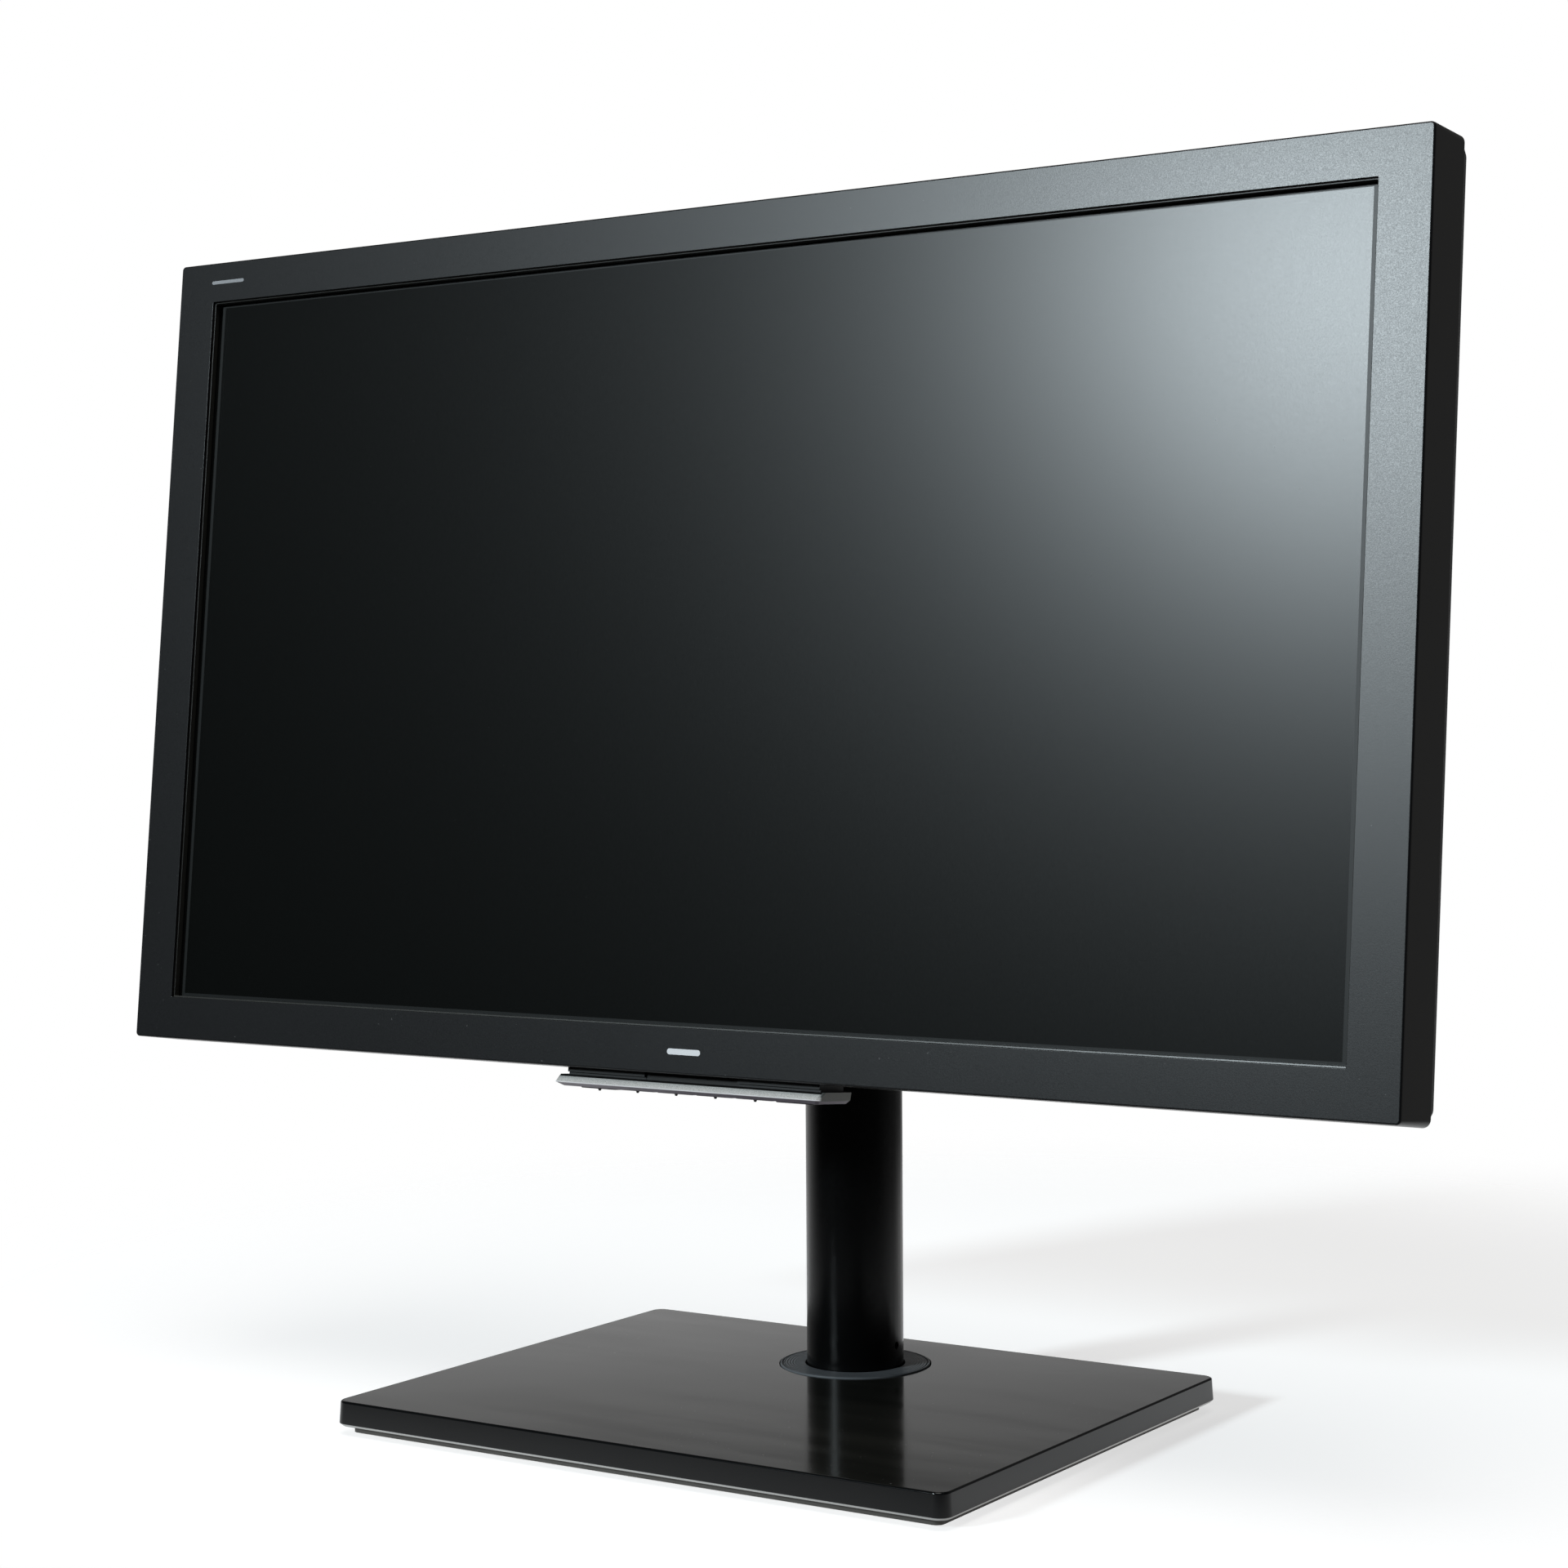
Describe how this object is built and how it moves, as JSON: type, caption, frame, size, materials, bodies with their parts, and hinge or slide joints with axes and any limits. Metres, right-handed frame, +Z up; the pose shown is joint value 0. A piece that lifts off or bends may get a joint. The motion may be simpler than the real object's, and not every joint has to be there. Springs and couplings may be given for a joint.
{
  "type": "computer monitor",
  "caption": "Wide flat-panel desktop monitor on a telescoping round column that swivels on a flat rectangular base, with tilt and a button bar under the bezel.",
  "frame": {"origin": "middle of the base's outline, on the desk", "axes": "+Z up, -Y towards the viewer of the screen, +X to the viewer's right"},
  "size_m": [0.5648, 0.216, 0.4698],
  "materials": {
    "bezel_plastic": "fine textured charcoal",
    "neck_black": "fine textured black",
    "cover_plastic": "fine textured black",
    "base_gloss": "polished black",
    "plinth_dark": "matte black",
    "column_paint": "semi-matte black",
    "cast_paint": "black paint over a rough skin",
    "disc_dark": "dark satin",
    "cap_plastic": "moulded black",
    "screen_face": "anti-glare film",
    "bar_silver": "silver metallic paint",
    "button_dark": "dark satin",
    "rubber_black": "matte",
    "steel_bright": "zinc plated",
    "steel_dark": "black coated",
    "screw_dark": "black zinc",
    "tube_satin": "satin",
    "rod_chrome": "polished",
    "nickel": "nickel plated",
    "brass": "bright",
    "bush_plastic": "plain moulded black",
    "socket_black": "moulded",
    "socket_blue": "moulded",
    "board_green": "circuit board",
    "lamp_white": "lamp strip",
    "heat_sink_metal": "extruded",
    "film_white": "diffusing film",
    "guide_clear": "clear acrylic"
  },
  "bodies": {
    "base": {"base_cover": "base_gloss", "weight_plate": "steel_bright", "bottom_plate": "plinth_dark", "rubber_feet": "rubber_black", "base_screws": "screw_dark", "bearing_washer": "bush_plastic"},
    "column": {"spindle": "steel_bright", "retaining_clip": "steel_bright", "stop_pin": "steel_bright", "swivel_disc": "disc_dark", "outer_tube": "column_paint", "guide_bush": "bush_plastic", "spring_cylinder": "steel_dark"},
    "lift": {"inner_tube": "tube_satin", "slider_bush": "bush_plastic", "spring_rod": "rod_chrome", "hinge_block": "cast_paint", "hinge_cap": "cap_plastic", "clamp_screws": "screw_dark"},
    "head": {"front_bezel": "bezel_plastic", "panel_frame": "bush_plastic", "lcd_cell": "screen_face", "diffuser_films": "film_white", "light_guide": "guide_clear", "lamp_strip": "lamp_white", "reflector_sheet": "film_white", "panel_tray": "steel_bright", "panel_board": "board_green", "chassis_plate": "steel_bright", "board_posts": "nickel", "main_board": "board_green", "heat_sink": "heat_sink_metal", "power_board": "board_green", "shield_box": "steel_bright", "stand_mount": "steel_bright", "socket_board": "board_green", "socket_bracket": "steel_bright", "power_inlet": "socket_black", "inlet_pins": "brass", "network_socket": "steel_bright", "usb_sockets": "steel_bright", "video_sockets": "socket_blue", "jack_screws": "nickel", "audio_sockets": "socket_black", "rear_cover": "cover_plastic", "cover_screws": "screw_dark", "lock_plate": "steel_bright", "tilt_bracket": "cast_paint", "bracket_screws": "screw_dark", "hinge_pin": "steel_dark", "friction_washers": "steel_dark", "control_bar": "bar_silver", "bar_neck": "neck_black", "key_board": "board_green"},
    "button_1": {"button_1": "button_dark"},
    "button_2": {"button_2": "button_dark"},
    "button_3": {"button_3": "button_dark"},
    "button_4": {"button_4": "button_dark"},
    "button_5": {"button_5": "button_dark"},
    "button_6": {"button_6": "button_dark"}
  },
  "joints": [
    {"name": "swivel", "type": "hinge", "parent": "base", "child": "column", "pos_m": [0, 0.0547, 0.0138], "axis": [0, 0, 1], "range_deg": [-45, 45]},
    {"name": "height", "type": "slide", "parent": "column", "child": "lift", "axis": [0, 0, 1], "range_m": [-0.1, 0]},
    {"name": "tilt", "type": "hinge", "parent": "lift", "child": "head", "pos_m": [0, 0.034, 0.3], "axis": [-1, 0, 0], "range_deg": [-5.7, 14.3]},
    {"name": "press_1", "type": "slide", "parent": "head", "child": "button_1", "axis": [0, 0.0993, 0.9951], "range_m": [0, 0.0008], "stiffness_N_per_m": 600, "springref_m": -0.0006},
    {"name": "press_2", "type": "slide", "parent": "head", "child": "button_2", "axis": [0, 0.0993, 0.9951], "range_m": [0, 0.0008], "stiffness_N_per_m": 600, "springref_m": -0.0006},
    {"name": "press_3", "type": "slide", "parent": "head", "child": "button_3", "axis": [0, 0.0993, 0.9951], "range_m": [0, 0.0008], "stiffness_N_per_m": 600, "springref_m": -0.0006},
    {"name": "press_4", "type": "slide", "parent": "head", "child": "button_4", "axis": [0, 0.0993, 0.9951], "range_m": [0, 0.0008], "stiffness_N_per_m": 600, "springref_m": -0.0006},
    {"name": "press_5", "type": "slide", "parent": "head", "child": "button_5", "axis": [0, 0.0993, 0.9951], "range_m": [0, 0.0008], "stiffness_N_per_m": 600, "springref_m": -0.0006},
    {"name": "press_6", "type": "slide", "parent": "head", "child": "button_6", "axis": [0, 0.0993, 0.9951], "range_m": [0, 0.0008], "stiffness_N_per_m": 600, "springref_m": -0.0006}
  ]
}
